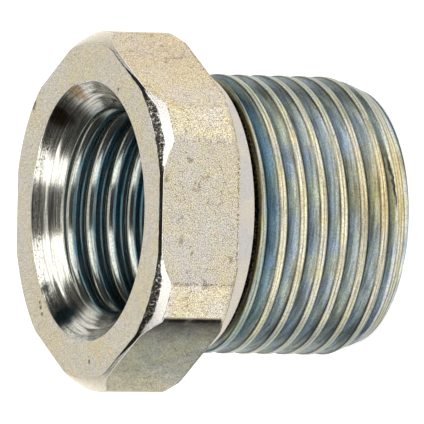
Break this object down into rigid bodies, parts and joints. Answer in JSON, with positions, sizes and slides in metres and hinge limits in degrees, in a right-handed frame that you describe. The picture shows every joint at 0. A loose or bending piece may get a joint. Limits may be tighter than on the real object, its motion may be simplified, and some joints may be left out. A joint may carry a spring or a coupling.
{
  "type": "hex bushing",
  "caption": "Turned and zinc plated steel hexagon bushing that joins an outside parallel pipe thread to a smaller inside one.",
  "frame": {"origin": "middle of the threaded end's face, which is the lowest plane of the part", "axes": "+Z along the axis from the threaded end to the hexagon's front face; two flats of the hexagon face +Y and -Y"},
  "size_m": [0.0214, 0.0198, 0.0175],
  "materials": {
    "zinc_plated_steel": "satin bright zinc plating with a faint yellow iridescence, over free cutting steel"
  },
  "bodies": {
    "root": {"hex_bushing": "zinc_plated_steel"}
  },
  "joints": []
}
